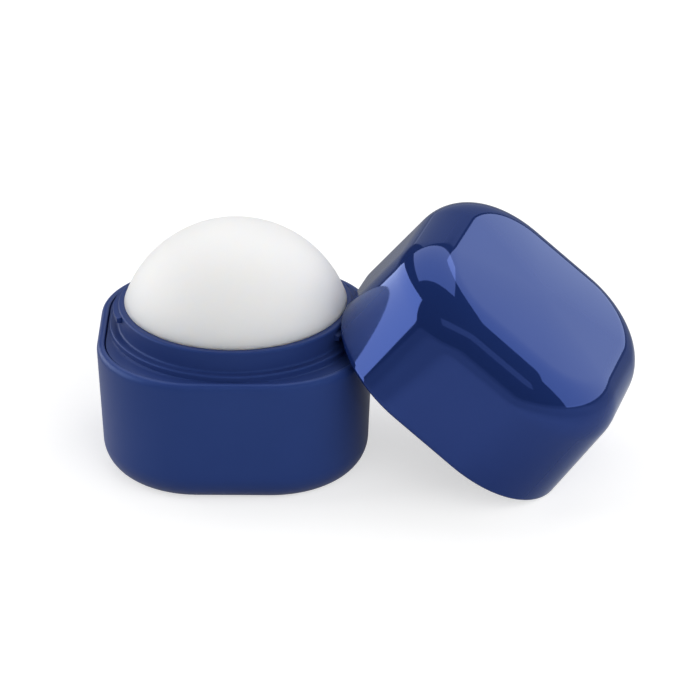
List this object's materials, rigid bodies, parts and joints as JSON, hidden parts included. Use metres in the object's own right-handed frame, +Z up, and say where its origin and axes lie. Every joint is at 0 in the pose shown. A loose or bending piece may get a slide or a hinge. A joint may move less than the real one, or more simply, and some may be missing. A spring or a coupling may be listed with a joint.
{
  "type": "lip balm cube",
  "caption": "Rounded-square lip balm container with its cap off: a base with a lug-threaded neck that holds a dome of balm, and a glossy screw cap with a domed liner leaning over it.",
  "frame": {"origin": "middle of the base's flat foot, on the surface that the object stands on", "axes": "+Z up along the neck's axis, +X towards the cap that leans beside the base, +Y away from the picture's camera"},
  "size_m": [0.0686, 0.0397, 0.0321],
  "materials": {
    "base_plastic": "deep blue, semi-gloss moulded",
    "neck_plastic": "deep blue, semi-gloss moulded",
    "cap_plastic": "deep blue, high gloss",
    "liner_plastic": "deep blue, satin moulded",
    "balm_wax": "white wax, smooth and slightly waxy"
  },
  "bodies": {
    "base": {"base_shell": "base_plastic", "neck_insert": "neck_plastic", "balm": "balm_wax"},
    "cap": {"cap_shell": "cap_plastic", "cap_liner": "liner_plastic"}
  },
  "joints": [
    {"name": "cap_lift", "type": "slide", "parent": "base", "child": "cap", "axis": [0, 0, 1], "range_m": [0, 0.04]}
  ]
}
